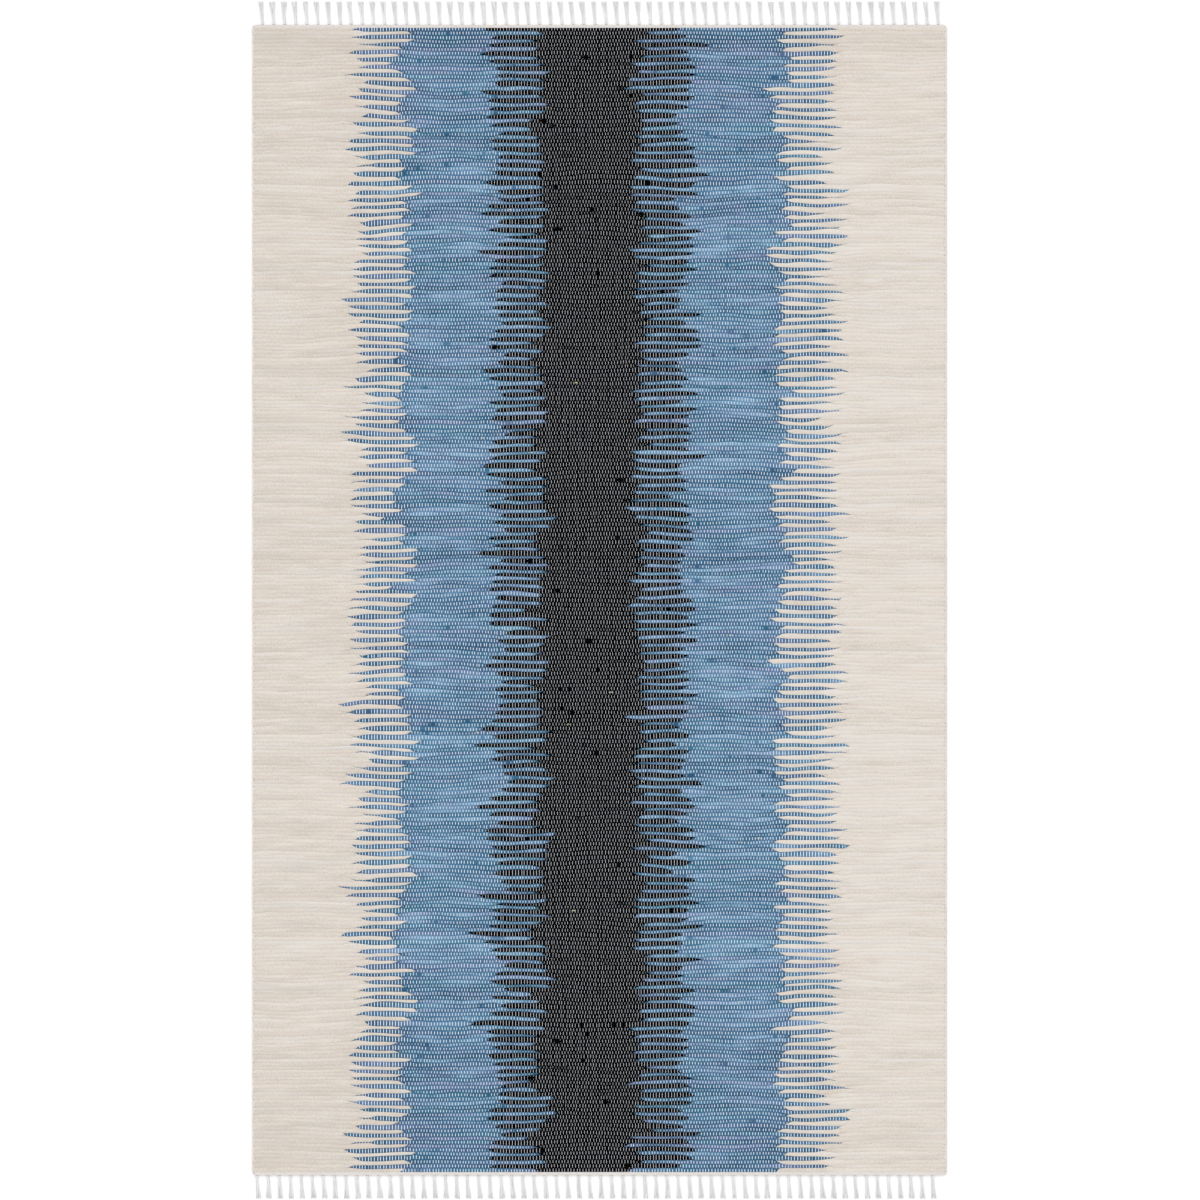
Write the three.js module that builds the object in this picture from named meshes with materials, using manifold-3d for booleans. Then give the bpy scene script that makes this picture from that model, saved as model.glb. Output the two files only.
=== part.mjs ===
// A flat-woven cotton rag rug that lies flat, with a fringe of knotted warp ends at both ends.
// Millimetres, +Z up, +X across the rug from selvedge to selvedge, +Y along the warp.
// The origin is the middle of the underside.

import * as THREE from "three";
import { mergeVertices } from "three/addons/utils/BufferGeometryUtils.js";
import Module from "manifold-3d";

const wasm = await Module();
wasm.setup();

// Driving dimensions.
const RUG_WIDTH = 1500; // over the weft loops of both selvedges
const CLOTH_LENGTH = 2484; // between the outer edges of the two headings
const CLOTH_THICKNESS = 6; // at the crest of a rag pick
const RIB_RELIEF = 1.3; // from a crest down to the groove between two picks
const PICKS = 288; // rag wefts from one heading to the other
const PICK_UNEVENNESS = 0.3; // share by which a pick is thicker or thinner than the mean
const LOOP_DEPTH = 2.2; // how far a weft loop stands out at the selvedge
const HEADING_DEPTH = 6.5; // the plain strip that locks the last pick
const HEADING_HEIGHT = 5;
const HEADING_CORNER = 5; // radius of the strip's outer corners
const PARTING_GAP = 0.3; // between a heading strip and the cloth
const FRINGE_LENGTH = 50; // from the heading's outer edge to the tips
const TASSELS = 62; // at each end
const TASSEL_PITCH = 23.9;

// The two ends: which way the fringe points, where its first tassel stands, and how far its tips lean.
const ENDS = [
  { name: "fringe_north", outward: 1, firstFromLeft: 23.5, tipLean: -3.9 },
  { name: "fringe_south", outward: -1, firstFromLeft: 10.6, tipLean: 3.3 },
];

// Half of a tassel, one lock of yarn, from its knot in the heading (along 0) to its tip (along 1).
// inner and outer are the lock's two edges, measured sideways from the tassel's middle line.
const LOCK_STATIONS = [
  { along: -0.09, inner: -0.3, outer: 3.2, height: 5.7 },
  { along: 0.1, inner: -0.3, outer: 2.3, height: 4.4 },
  { along: 1, inner: 0.9, outer: 5.8, height: 2.8 },
];

// Where each station of a rib lies across its pick, and how much of the relief it has.
const RIB_STATIONS = [
  { across: 0, raised: 0 },
  { across: 0.5, raised: 1 },
];

const fieldHalfLength = CLOTH_LENGTH / 2 - HEADING_DEPTH - PARTING_GAP;

const ragCotton = new THREE.MeshStandardMaterial({ color: 0x8f9daa, roughness: 0.95, metalness: 0 });
const warpCotton = new THREE.MeshStandardMaterial({ color: 0xe6e0d8, roughness: 0.92, metalness: 0 });

// How much thicker (up to 1) or thinner (down to -1) than the mean a pick is.
function pickWobble(pick) {
  return 0.6 * Math.sin(2.4 * pick) + 0.4 * Math.sin(0.7 * pick + 1.3);
}

// The y of each line between two picks, from the south heading to the north one.
function pickLines() {
  const shares = Array.from({ length: PICKS }, (_, pick) => 1 + PICK_UNEVENNESS * pickWobble(pick));
  const total = shares.reduce((sum, share) => sum + share, 0);
  const lines = [-fieldHalfLength];
  for (const share of shares) {
    lines.push(lines.at(-1) + (2 * fieldHalfLength * share) / total);
  }
  return lines;
}

// How far the selvedge lies inside the loop crests, at a place counted in picks.
// A loop joins two picks, and the loops of the two selvedges are one pick apart.
function selvedgeInset(place, side) {
  const phase = ((place + (side > 0 ? 1 : 0)) / 2) % 1;
  return LOOP_DEPTH * (1 - Math.sin(Math.PI * phase));
}

// The ribbed cloth: a slab with a flat underside, one raised rib for each pick, and looped selvedges.
function ragCloth() {
  const lines = pickLines();
  const stations = [];
  for (let pick = 0; pick < PICKS; pick++) {
    for (const { across, raised } of RIB_STATIONS) {
      const y = THREE.MathUtils.lerp(lines[pick], lines[pick + 1], across);
      stations.push({ y, place: pick + across, top: CLOTH_THICKNESS - RIB_RELIEF * (1 - raised) });
    }
  }
  stations.push({ y: lines.at(-1), place: PICKS, top: CLOTH_THICKNESS - RIB_RELIEF });

  const steps = stations.length - 1;
  const geometry = new THREE.BoxGeometry(2, steps, 2, 1, steps, 1);
  const position = geometry.attributes.position;
  for (let i = 0; i < position.count; i++) {
    const { y, place, top } = stations[Math.round(position.getY(i) + steps / 2)];
    const side = Math.sign(position.getX(i));
    const x = side * (RUG_WIDTH / 2 - selvedgeInset(place, side));
    position.setXYZ(i, x, y, position.getZ(i) > 0 ? top : 0);
  }
  return geometry;
}

// A closed geometry as a solid that can be joined to others.
function solidOf(geometry) {
  const bare = geometry.clone();
  bare.deleteAttribute("normal");
  bare.deleteAttribute("uv");
  const merged = mergeVertices(bare, 1e-4);
  return new wasm.Manifold(
    new wasm.Mesh({
      numProp: 3,
      vertProperties: merged.attributes.position.array,
      triVerts: new Uint32Array(merged.index.array),
    }),
  );
}

// A joined solid as a geometry again.
function geometryOf(solid) {
  const mesh = solid.getMesh();
  const geometry = new THREE.BufferGeometry();
  geometry.setAttribute("position", new THREE.BufferAttribute(mesh.vertProperties, 3));
  geometry.setIndex(new THREE.BufferAttribute(mesh.triVerts, 1));
  geometry.computeVertexNormals();
  return geometry;
}

// The heading strip of one end, drawn for an end that points to +Y and with rounded outer corners.
function headingStrip() {
  const half = RUG_WIDTH / 2 - LOOP_DEPTH;
  const inner = CLOTH_LENGTH / 2 - HEADING_DEPTH;
  const outer = CLOTH_LENGTH / 2;
  const outline = new THREE.Shape();
  outline.moveTo(-half, inner);
  outline.lineTo(half, inner);
  outline.lineTo(half, outer - HEADING_CORNER);
  outline.absarc(half - HEADING_CORNER, outer - HEADING_CORNER, HEADING_CORNER, 0, Math.PI / 2);
  outline.lineTo(-half + HEADING_CORNER, outer);
  outline.absarc(-half + HEADING_CORNER, outer - HEADING_CORNER, HEADING_CORNER, Math.PI / 2, Math.PI);
  outline.closePath();
  return new THREE.ExtrudeGeometry(outline, { depth: HEADING_HEIGHT, bevelEnabled: false, curveSegments: 4 });
}

// One lock of a tassel, four-sided, level on the floor: side is -1 for the left lock and 1 for the right.
function tasselLock(middle, side, tipLean) {
  const steps = LOCK_STATIONS.length - 1;
  const geometry = new THREE.BoxGeometry(2, steps, 2, 1, steps, 1);
  const position = geometry.attributes.position;
  for (let i = 0; i < position.count; i++) {
    const { along, inner, outer, height } = LOCK_STATIONS[Math.round(position.getY(i) + steps / 2)];
    const isOuterEdge = Math.sign(position.getX(i)) === side;
    const sideways = side * (isOuterEdge ? outer : inner);
    const lean = tipLean * Math.max(along, 0);
    const y = CLOTH_LENGTH / 2 + FRINGE_LENGTH * along;
    position.setXYZ(i, middle + sideways + lean, y, position.getZ(i) > 0 ? height : 0);
  }
  return geometry;
}

// A heading strip with its tassels, turned to the end that it closes.
function fringe({ outward, firstFromLeft, tipLean }) {
  const pieces = [solidOf(headingStrip())];
  for (let i = 0; i < TASSELS; i++) {
    const middle = -RUG_WIDTH / 2 + firstFromLeft + i * TASSEL_PITCH;
    for (const side of [-1, 1]) {
      // The half turn of the far end also turns left and right round.
      pieces.push(solidOf(tasselLock(outward * middle, side, outward * tipLean)));
    }
  }
  const joined = wasm.Manifold.union(pieces);
  return geometryOf(outward > 0 ? joined : joined.rotate([0, 0, 180]));
}

function named(name, geometry, material) {
  const mesh = new THREE.Mesh(geometry, material);
  mesh.name = name;
  return mesh;
}

const rug = new THREE.Group();
rug.add(named("cloth", ragCloth(), ragCotton));
for (const end of ENDS) {
  rug.add(named(end.name, fringe(end), warpCotton));
}

export default rug;
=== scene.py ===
"""A flat-woven cotton rag rug, laid flat with its knotted fringes combed out.

Every rag weft and every warp yarn is a closed yarn of its own, and the yarns of one colour are
joined into one piece. Sizes are in metres, or in millimetres where a name ends in mm. +Z is up, +X
goes across the rug and +Y along the warp, with the origin at the middle of the underside.
"""

import logging
import math
from dataclasses import dataclass, field
from enum import Enum

import bpy
import numpy as np
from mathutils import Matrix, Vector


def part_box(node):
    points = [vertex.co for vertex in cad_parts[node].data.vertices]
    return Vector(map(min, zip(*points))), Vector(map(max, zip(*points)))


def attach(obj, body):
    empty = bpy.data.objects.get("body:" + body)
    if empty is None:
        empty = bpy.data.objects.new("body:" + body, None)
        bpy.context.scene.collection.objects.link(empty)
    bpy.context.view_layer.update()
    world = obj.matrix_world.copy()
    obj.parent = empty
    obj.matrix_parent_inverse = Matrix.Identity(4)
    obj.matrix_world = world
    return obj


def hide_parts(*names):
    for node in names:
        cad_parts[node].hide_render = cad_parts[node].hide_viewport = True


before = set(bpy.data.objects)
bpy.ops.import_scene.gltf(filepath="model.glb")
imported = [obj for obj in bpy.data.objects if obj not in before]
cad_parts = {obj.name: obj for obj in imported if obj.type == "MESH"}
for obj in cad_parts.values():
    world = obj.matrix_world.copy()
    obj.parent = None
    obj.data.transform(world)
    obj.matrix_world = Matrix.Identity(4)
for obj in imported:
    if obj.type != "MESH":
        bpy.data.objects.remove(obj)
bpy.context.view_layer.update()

log = logging.getLogger("rag_rug")

MM = 0.001
BODY = "root"
UV_NAME = "OFBake"
MAP_SHARE = 0.9  # how much of its cell of the map a yarn takes, so that neighbours keep apart

Span = tuple[float, float]
Grain = tuple[float, float, float]


class Rag(Enum):
    """The colours of rag that the weft changes between."""

    IVORY = "ivory"
    BLUE = "blue"
    BLACK = "black"


class End(Enum):
    """The two ends of the rug, with the way that each one's fringe points along Y."""

    NORTH = 1
    SOUTH = -1


def linear(code: str) -> tuple[float, float, float, float]:
    """A colour written as six hex digits, as linear light.

    Args:
        code: The red, green and blue values as on a colour card, such as "d8cfc4".

    Returns:
        Red, green, blue and an alpha of 1.
    """
    shares = [int(code[i : i + 2], 16) / 255 for i in (0, 2, 4)]
    light = [s / 12.92 if s <= 0.04045 else ((s + 0.055) / 1.055) ** 2.4 for s in shares]
    return (*light, 1.0)


def wander(
    rng: np.random.Generator, rows: int, places: np.ndarray, shortest: float, longest: float
) -> np.ndarray:
    """Smooth random curves, one for each row, with a mean near 0 and a deviation near 1.

    Args:
        rng: Where the random draws come from.
        rows: How many curves to make.
        places: The places along each curve.
        shortest: The shortest wave.
        longest: The longest wave.

    Returns:
        An array with a row for each curve and a column for each place.
    """
    count = 5
    lengths = rng.uniform(shortest, longest, (rows, count, 1))
    phases = rng.uniform(0, 2 * math.pi, (rows, count, 1))
    curves = np.sin(2 * math.pi * places[None, None, :] / lengths + phases)
    return curves.sum(axis=1) * math.sqrt(2 / count)


def smooth(made: bpy.types.Object, angle: float = math.radians(80)) -> None:
    """Shades an object smooth, except where two faces meet more sharply than the angle."""
    bpy.ops.object.select_all(action="DESELECT")
    made.select_set(True)
    bpy.context.view_layer.objects.active = made
    bpy.ops.object.shade_smooth_by_angle(angle=angle)


def new_object(
    name: str,
    points: np.ndarray,
    faces: list[list[int]],
    places: np.ndarray | None = None,
    **values: np.ndarray,
) -> bpy.types.Object:
    """A new object at the origin, smoothed, with its map and its own values.

    Args:
        name: The object's name.
        points: Its points.
        faces: The numbers of the points of each face.
        places: The place on the map of every corner of every face.
        **values: A value for each point, under the name of its attribute.

    Returns:
        The object.
    """
    mesh = bpy.data.meshes.new(name)
    mesh.from_pydata(points.reshape(-1, 3).tolist(), [], faces)
    if places is not None:
        mesh.uv_layers.new(name=UV_NAME).data.foreach_set("uv", places.astype(np.float32).ravel())
    for attribute, value in values.items():
        layer = mesh.attributes.new(attribute, "FLOAT", "POINT")
        layer.data.foreach_set("value", value.astype(np.float32))
    mesh.update()
    made = bpy.data.objects.new(name, mesh)
    bpy.context.scene.collection.objects.link(made)
    smooth(made)
    return made


def soft_step(places: np.ndarray, start: float, end: float) -> np.ndarray:
    """A smooth rise from 0 at start to 1 at end, which may lie either way round."""
    share = np.clip((places - start) / (end - start), 0, 1)
    return share * share * (3 - 2 * share)


def points_of(x: np.ndarray, y: np.ndarray, z: np.ndarray) -> np.ndarray:
    """Points from their coordinates, which are spread over each other's rows and columns."""
    return np.stack(np.broadcast_arrays(x, y, z), axis=-1)


def round_angles(sides: int) -> np.ndarray:
    """The angles of the corners of a section, evenly spaced."""
    return np.arange(sides) * 2 * math.pi / sides


@dataclass
class YarnStore:
    """Many closed yarns, gathered point by point and joined into one mesh at the end."""

    points: list[np.ndarray] = field(default_factory=list)
    quads: list[np.ndarray] = field(default_factory=list)
    corners: list[np.ndarray] = field(default_factory=list)
    caps: list[np.ndarray] = field(default_factory=list)
    cap_corners: list[np.ndarray] = field(default_factory=list)
    values: dict[str, list[np.ndarray]] = field(default_factory=dict)
    size: int = 0

    def add(
        self,
        rings: np.ndarray,
        tips: np.ndarray,
        row: Span,
        across: np.ndarray | None = None,
        **values: np.ndarray | float,
    ) -> None:
        """Adds one yarn, a closed tube with a point at each end.

        Args:
            rings: Its sections in order, as (sections, sides, 3), counter-clockwise seen from the start.
            tips: Its first and last point, as (2, 3).
            row: The strip of the map that the yarn's girth takes.
            across: Where each section and each tip lies along the map, first tip first, or evenly.
            **values: One value, or one for each section, tips included, under its attribute's name.
        """
        count, sides = rings.shape[:2]
        if across is None:
            across = np.linspace(0, 1, count + 2)
        points = np.concatenate([tips[:1], rings.reshape(-1, 3), tips[1:]])
        ring, side = np.meshgrid(np.arange(count - 1), np.arange(sides), indexing="ij")
        following = (side + 1) % sides
        first = 1 + ring * sides
        quads = np.stack(
            [first + side, first + following, first + sides + following, first + sides + side], axis=-1
        ).reshape(-1, 4)
        near, far = across[1:-1][ring], across[1:-1][ring + 1]
        low = row[0] + (row[1] - row[0]) * side / sides
        high = row[0] + (row[1] - row[0]) * (side + 1) / sides
        corners = np.stack(
            [near, low, near, high, far, high, far, low], axis=-1
        ).reshape(-1, 4, 2)
        around = np.arange(sides)
        last = 1 + (count - 1) * sides
        end = len(points) - 1
        caps = np.concatenate(
            [
                np.stack([np.zeros_like(around), 1 + (around + 1) % sides, 1 + around], axis=-1),
                np.stack([np.full_like(around, end), last + around, last + (around + 1) % sides], axis=-1),
            ]
        )
        edge = row[0] + (row[1] - row[0]) * around / sides
        edge_on = row[0] + (row[1] - row[0]) * (around + 1) / sides
        ends = []
        for tip, section, one, other in (
            (across[0], across[1], edge_on, edge),
            (across[-1], across[-2], edge, edge_on),
        ):
            place = np.full(sides, section)
            ends.append(
                np.stack([np.full(sides, tip), one, place, one, place, other], axis=-1).reshape(-1, 3, 2)
            )
        self.points.append(points)
        self.quads.append(quads + self.size)
        self.corners.append(corners)
        self.caps.append(caps + self.size)
        self.cap_corners.append(np.concatenate(ends))
        for name, value in values.items():
            along = np.broadcast_to(value, count + 2)
            each = np.concatenate([along[:1], np.repeat(along[1:-1], sides), along[-1:]])
            self.values.setdefault(name, []).append(each)
        self.size += len(points)

    def piece(self, name: str) -> bpy.types.Object:
        """Joins the yarns into one smooth-shaded object.

        Args:
            name: The piece's name.

        Returns:
            The new object, at the origin.
        """
        faces = np.concatenate(self.quads).tolist() + np.concatenate(self.caps).tolist()
        places = np.concatenate([part.ravel() for part in (*self.corners, *self.cap_corners)])
        values = {attribute: np.concatenate(parts) for attribute, parts in self.values.items()}
        return new_object(name, np.concatenate(self.points), faces, places, **values)


class Shader:
    """One material's nodes, added and joined by short calls."""

    SHINE = 0.05
    SHEEN_ROUGHNESS = 0.6
    NOISE_SPAN = (0.3, 0.7)

    def __init__(self, name: str) -> None:
        """Starts a material with only its surface shader.

        Args:
            name: The material's name.
        """
        self.material = bpy.data.materials.new(name)
        self.material.use_nodes = True
        self.nodes = self.material.node_tree.nodes
        self.links = self.material.node_tree.links
        self.surface = self.nodes["Principled BSDF"]
        self.where = self.nodes.new("ShaderNodeTexCoord").outputs["Object"]

    def value_of(self, attribute: str) -> bpy.types.NodeSocket:
        """The socket that reads one of the mesh's own values."""
        node = self.nodes.new("ShaderNodeAttribute")
        node.attribute_name = attribute
        return node.outputs["Fac"]

    def noise(self, grain: Grain, detail: float = 3.0) -> bpy.types.NodeSocket:
        """A smooth noise with grains of a given size.

        Args:
            grain: How long, wide and high one grain is.
            detail: How many finer noises lie over it.

        Returns:
            The socket with the noise, around 0.5.
        """
        mapping = self.nodes.new("ShaderNodeMapping")
        mapping.inputs["Scale"].default_value = [1 / g for g in grain]
        self.links.new(self.where, mapping.inputs["Vector"])
        node = self.nodes.new("ShaderNodeTexNoise")
        node.inputs["Scale"].default_value = 1.0
        node.inputs["Detail"].default_value = detail
        self.links.new(mapping.outputs["Vector"], node.inputs["Vector"])
        return node.outputs["Fac"]

    def ramp(
        self, share: bpy.types.NodeSocket, stops: list[tuple[float, str]]
    ) -> bpy.types.NodeSocket:
        """Colours read off a row of stops.

        Args:
            share: The place along the row.
            stops: Places and colours, in order.

        Returns:
            The socket with the colour.
        """
        node = self.nodes.new("ShaderNodeValToRGB")
        row = node.color_ramp.elements
        while len(row) < len(stops):
            row.new(0.5)
        for element, (place, code) in zip(row, stops):
            element.position = place
            element.color = linear(code)
        self.links.new(share, node.inputs["Fac"])
        return node.outputs["Color"]

    def span(
        self, value: bpy.types.NodeSocket, start: float, end: float, low: float, high: float
    ) -> bpy.types.NodeSocket:
        """A value carried from one range to another, and held inside it."""
        node = self.nodes.new("ShaderNodeMapRange")
        node.inputs["From Min"].default_value = start
        node.inputs["From Max"].default_value = end
        node.inputs["To Min"].default_value = low
        node.inputs["To Max"].default_value = high
        self.links.new(value, node.inputs["Value"])
        return node.outputs["Result"]

    def swing(self, grain: Grain, depth: float) -> bpy.types.NodeSocket:
        """A noise that swings around 0, as far as the depth on both sides."""
        return self.span(self.noise(grain), *self.NOISE_SPAN, -depth, depth)

    def mix(
        self,
        share: bpy.types.NodeSocket,
        base: bpy.types.NodeSocket,
        other: bpy.types.NodeSocket | str,
        way: str = "MIX",
    ) -> bpy.types.NodeSocket:
        """Two colours mixed.

        Args:
            share: How much of the other colour there is.
            base: The colour underneath.
            other: The colour over it, as a socket or as six hex digits.
            way: The way of mixing.

        Returns:
            The socket with the mixed colour.
        """
        node = self.nodes.new("ShaderNodeMix")
        node.data_type = "RGBA"
        node.blend_type = way
        self.links.new(share, node.inputs["Factor"])
        colours = [s for s in node.inputs if s.type == "RGBA"]
        self.links.new(base, colours[0])
        if isinstance(other, str):
            colours[1].default_value = linear(other)
        else:
            self.links.new(other, colours[1])
        return next(s for s in node.outputs if s.type == "RGBA")

    def sum(self, first: bpy.types.NodeSocket, other: bpy.types.NodeSocket) -> bpy.types.NodeSocket:
        """The sum of two values."""
        node = self.nodes.new("ShaderNodeMath")
        node.operation = "ADD"
        self.links.new(first, node.inputs[0])
        self.links.new(other, node.inputs[1])
        return node.outputs["Value"]

    def finish(
        self,
        colour: bpy.types.NodeSocket,
        height: bpy.types.NodeSocket,
        depth: float,
        roughness: float,
        sheen: float,
    ) -> bpy.types.Material:
        """Joins colour and relief to the surface shader.

        Args:
            colour: The surface's colour.
            height: Its relief, from 0 to 1.
            depth: How deep that relief is, in metres.
            roughness: How matt the surface is.
            sheen: How much light its fuzz catches.

        Returns:
            The finished material.
        """
        self.links.new(colour, self.surface.inputs["Base Color"])
        bump = self.nodes.new("ShaderNodeBump")
        bump.inputs["Strength"].default_value = 1.0
        bump.inputs["Distance"].default_value = depth
        self.links.new(height, bump.inputs["Height"])
        self.links.new(bump.outputs["Normal"], self.surface.inputs["Normal"])
        self.surface.inputs["Roughness"].default_value = roughness
        self.surface.inputs["Specular IOR Level"].default_value = self.SHINE
        self.surface.inputs["Sheen Weight"].default_value = sheen
        self.surface.inputs["Sheen Roughness"].default_value = self.SHEEN_ROUGHNESS
        return self.material


@dataclass(frozen=True)
class RagFinish:
    """Torn and twisted cotton rag: a tone for each weft, casts of other dye, streaks and lint."""

    name: str
    tones: tuple[str, str, str]
    cool: str
    warm: str
    lint: str
    streak_depth: float
    mottle_depth: float
    lint_share: float
    cast_share: float
    sheen: float
    streak_grain: Grain = (45 * MM, 2.2 * MM, 2.2 * MM)
    mottle_grain: Grain = (3.2 * MM, 5 * MM, 5 * MM)
    lint_grain: Grain = (3.5 * MM, 0.7 * MM, 0.7 * MM)
    lint_span: Span = (0.6, 0.8)
    fold_grain: Grain = (6 * MM, 1.6 * MM, 1.6 * MM)
    fold_depth: float = 0.5 * MM
    roughness: float = 0.92

    def dress(self, piece: bpy.types.Object) -> None:
        """Gives the piece this finish.

        Args:
            piece: A piece whose mesh carries the values tone and cast.
        """
        shader = Shader(self.name)
        streak = shader.swing(self.streak_grain, self.streak_depth)
        mottle = shader.swing(self.mottle_grain, self.mottle_depth)
        tone = shader.sum(shader.sum(shader.value_of("tone"), streak), mottle)
        deep, middle, pale = self.tones
        colour = shader.ramp(tone, [(0.0, deep), (0.5, middle), (1.0, pale)])
        cast = shader.value_of("cast")
        colour = shader.mix(shader.span(cast, 0.0, -1.0, 0.0, self.cast_share), colour, self.cool)
        colour = shader.mix(shader.span(cast, 0.0, 1.0, 0.0, self.cast_share), colour, self.warm)
        fuzz = shader.span(shader.noise(self.lint_grain, detail=4.0), *self.lint_span, 0.0, self.lint_share)
        colour = shader.mix(fuzz, colour, self.lint)
        folds = shader.noise(self.fold_grain, detail=5.0)
        made = shader.finish(colour, folds, self.fold_depth, self.roughness, self.sheen)
        piece.data.materials.append(made)


@dataclass(frozen=True)
class YarnFinish:
    """Thin spun cotton yarn: paler and greyer stretches, and fine fibres along it."""

    name: str
    grey: str
    pale: str
    shaded: str
    patch_grain: Grain = (6 * MM, 25 * MM, 6 * MM)
    patch_depth: float = 0.2
    fibre_grain: Grain = (0.5 * MM, 1.8 * MM, 0.5 * MM)
    fibre_depth: float = 0.35 * MM
    roughness: float = 0.9
    sheen: float = 0.1

    def dress(self, piece: bpy.types.Object) -> None:
        """Gives the piece this finish.

        Args:
            piece: A piece whose mesh carries the values tone and shade.
        """
        shader = Shader(self.name)
        tone = shader.sum(shader.value_of("tone"), shader.swing(self.patch_grain, self.patch_depth))
        colour = shader.ramp(tone, [(0.0, self.grey), (1.0, self.pale)])
        colour = shader.mix(shader.value_of("shade"), colour, self.shaded)
        fibres = shader.noise(self.fibre_grain, detail=4.0)
        made = shader.finish(colour, fibres, self.fibre_depth, self.roughness, self.sheen)
        piece.data.materials.append(made)


@dataclass(frozen=True)
class FloorFinish:
    """A plain matt floor."""

    name: str = "pale_floor"
    colour: str = "fdfdfd"
    shade: str = "fbfbfb"
    broad_grain: Grain = (1.4, 1.4, 1.4)
    fine_grain: Grain = (3 * MM, 3 * MM, 3 * MM)
    shade_span: Span = (0.2, 0.8)
    depth: float = 0.01 * MM
    roughness: float = 0.85

    def dress(self, floor: bpy.types.Object) -> None:
        """Gives the floor this finish."""
        shader = Shader(self.name)
        broad = shader.noise(self.broad_grain, detail=2.0)
        colour = shader.ramp(broad, list(zip(self.shade_span, (self.shade, self.colour))))
        fine = shader.noise(self.fine_grain)
        floor.data.materials.append(shader.finish(colour, fine, self.depth, self.roughness, sheen=0.0))


IVORY_FINISH = RagFinish(
    "ivory_rag", ("ccc3b9", "d7cec4", "e0d9d1"), "d8d6d4", "dfd1c6", "e6e1da", 0.25, 0.4, 0.15, 0.4, 0.05
)
BLUE_FINISH = RagFinish(
    "blue_rag", ("2c5474", "416f90", "759ebd"), "337a8c", "8a93bd", "b9cbdc", 0.2, 0.1, 0.25, 0.4, 0.05
)
BLACK_FINISH = RagFinish(
    "black_rag", ("010102", "020304", "0b0c0f"), "03060c", "080706", "1b1c20", 0.25, 0.1, 0.1, 0.5, 0.0
)
WARP_FINISH = YarnFinish("warp_yarn", "d6d9e0", "f1f3f9", "dbe3ee")
PLAIN_WARP_FINISH = YarnFinish("plain_warp_yarn", "d6cec5", "e2dbd3", "cdc6be")
SELVEDGE_FINISH = RagFinish(
    "selvedge_rag", ("d6cfc8", "dfd7d0", "e5dfd9"), "dbd9d8", "e3d6cb", "e8e4df", 0.15, 0.1, 0.15, 0.4, 0.05
)
FRINGE_FINISH = YarnFinish("fringe_yarn", "d6d6d6", "eaeaea", "b6b5b4")
HEADING_FINISH = YarnFinish("heading_yarn", "dbd5d1", "e9e4e0", "c3bcb8")
STRAY_FINISH = YarnFinish("stray_thread", "e6d486", "f3eedd", "c3bcb8")
RAG_FINISHES = {Rag.IVORY: IVORY_FINISH, Rag.BLUE: BLUE_FINISH, Rag.BLACK: BLACK_FINISH}


@dataclass(frozen=True)
class TailForm:
    """How the long tails of one change of colour end.

    The keep is the share of a pick's height left at its tip, from the least to the most, the reach
    is where the full height comes back, and the thread is how long a thin tip runs before it swells.
    """

    keep: Span
    reach: Span
    thread: float
    swell: float


@dataclass(frozen=True)
class BandChange:
    """Where the weft changes colour: every second pick carries its rag on as a long tail."""

    west: Rag
    east: Rag
    tail_at: float
    finger_at: float
    form: TailForm
    soft: float = 30 * MM

    @property
    def inward(self) -> int:
        """1 if the tails come from the east, and -1 if they come from the west."""
        return 1 if self.tail_at < self.finger_at else -1

    def zone(self, x: np.ndarray) -> np.ndarray:
        """1 where the tails lie, 0 away from them, and softly between."""
        low, high = sorted((self.tail_at, self.finger_at))
        soft = self.soft
        return soft_step(x, low - soft, low + soft) * soft_step(x, high + soft, high - soft)


WISPY_WEST = TailForm(keep=(0.14, 0.4), reach=(5 * MM, 28 * MM), thread=14 * MM, swell=0.1)
WISPY_EAST = TailForm(keep=(0.14, 0.4), reach=(8 * MM, 40 * MM), thread=16 * MM, swell=-0.03)
BLUNT = TailForm(keep=(0.34, 0.7), reach=(5 * MM, 20 * MM), thread=0.0, swell=0.15)
CHANGES = (
    BandChange(Rag.IVORY, Rag.BLUE, tail_at=-524 * MM, finger_at=-420 * MM, form=WISPY_WEST),
    BandChange(Rag.BLUE, Rag.BLACK, tail_at=-224 * MM, finger_at=-124 * MM, form=BLUNT),
    BandChange(Rag.BLACK, Rag.BLUE, tail_at=187 * MM, finger_at=85 * MM, form=BLUNT),
    BandChange(Rag.BLUE, Rag.IVORY, tail_at=510 * MM, finger_at=394 * MM, form=WISPY_EAST),
)
BAND_RAGS = (CHANGES[0].west, *(change.east for change in CHANGES))


@dataclass(frozen=True)
class Waves:
    """A set of waves over the cloth: how many, their lengths each way, and how far they shift it."""

    count: int
    across: Span
    along: Span
    shift: float


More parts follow.
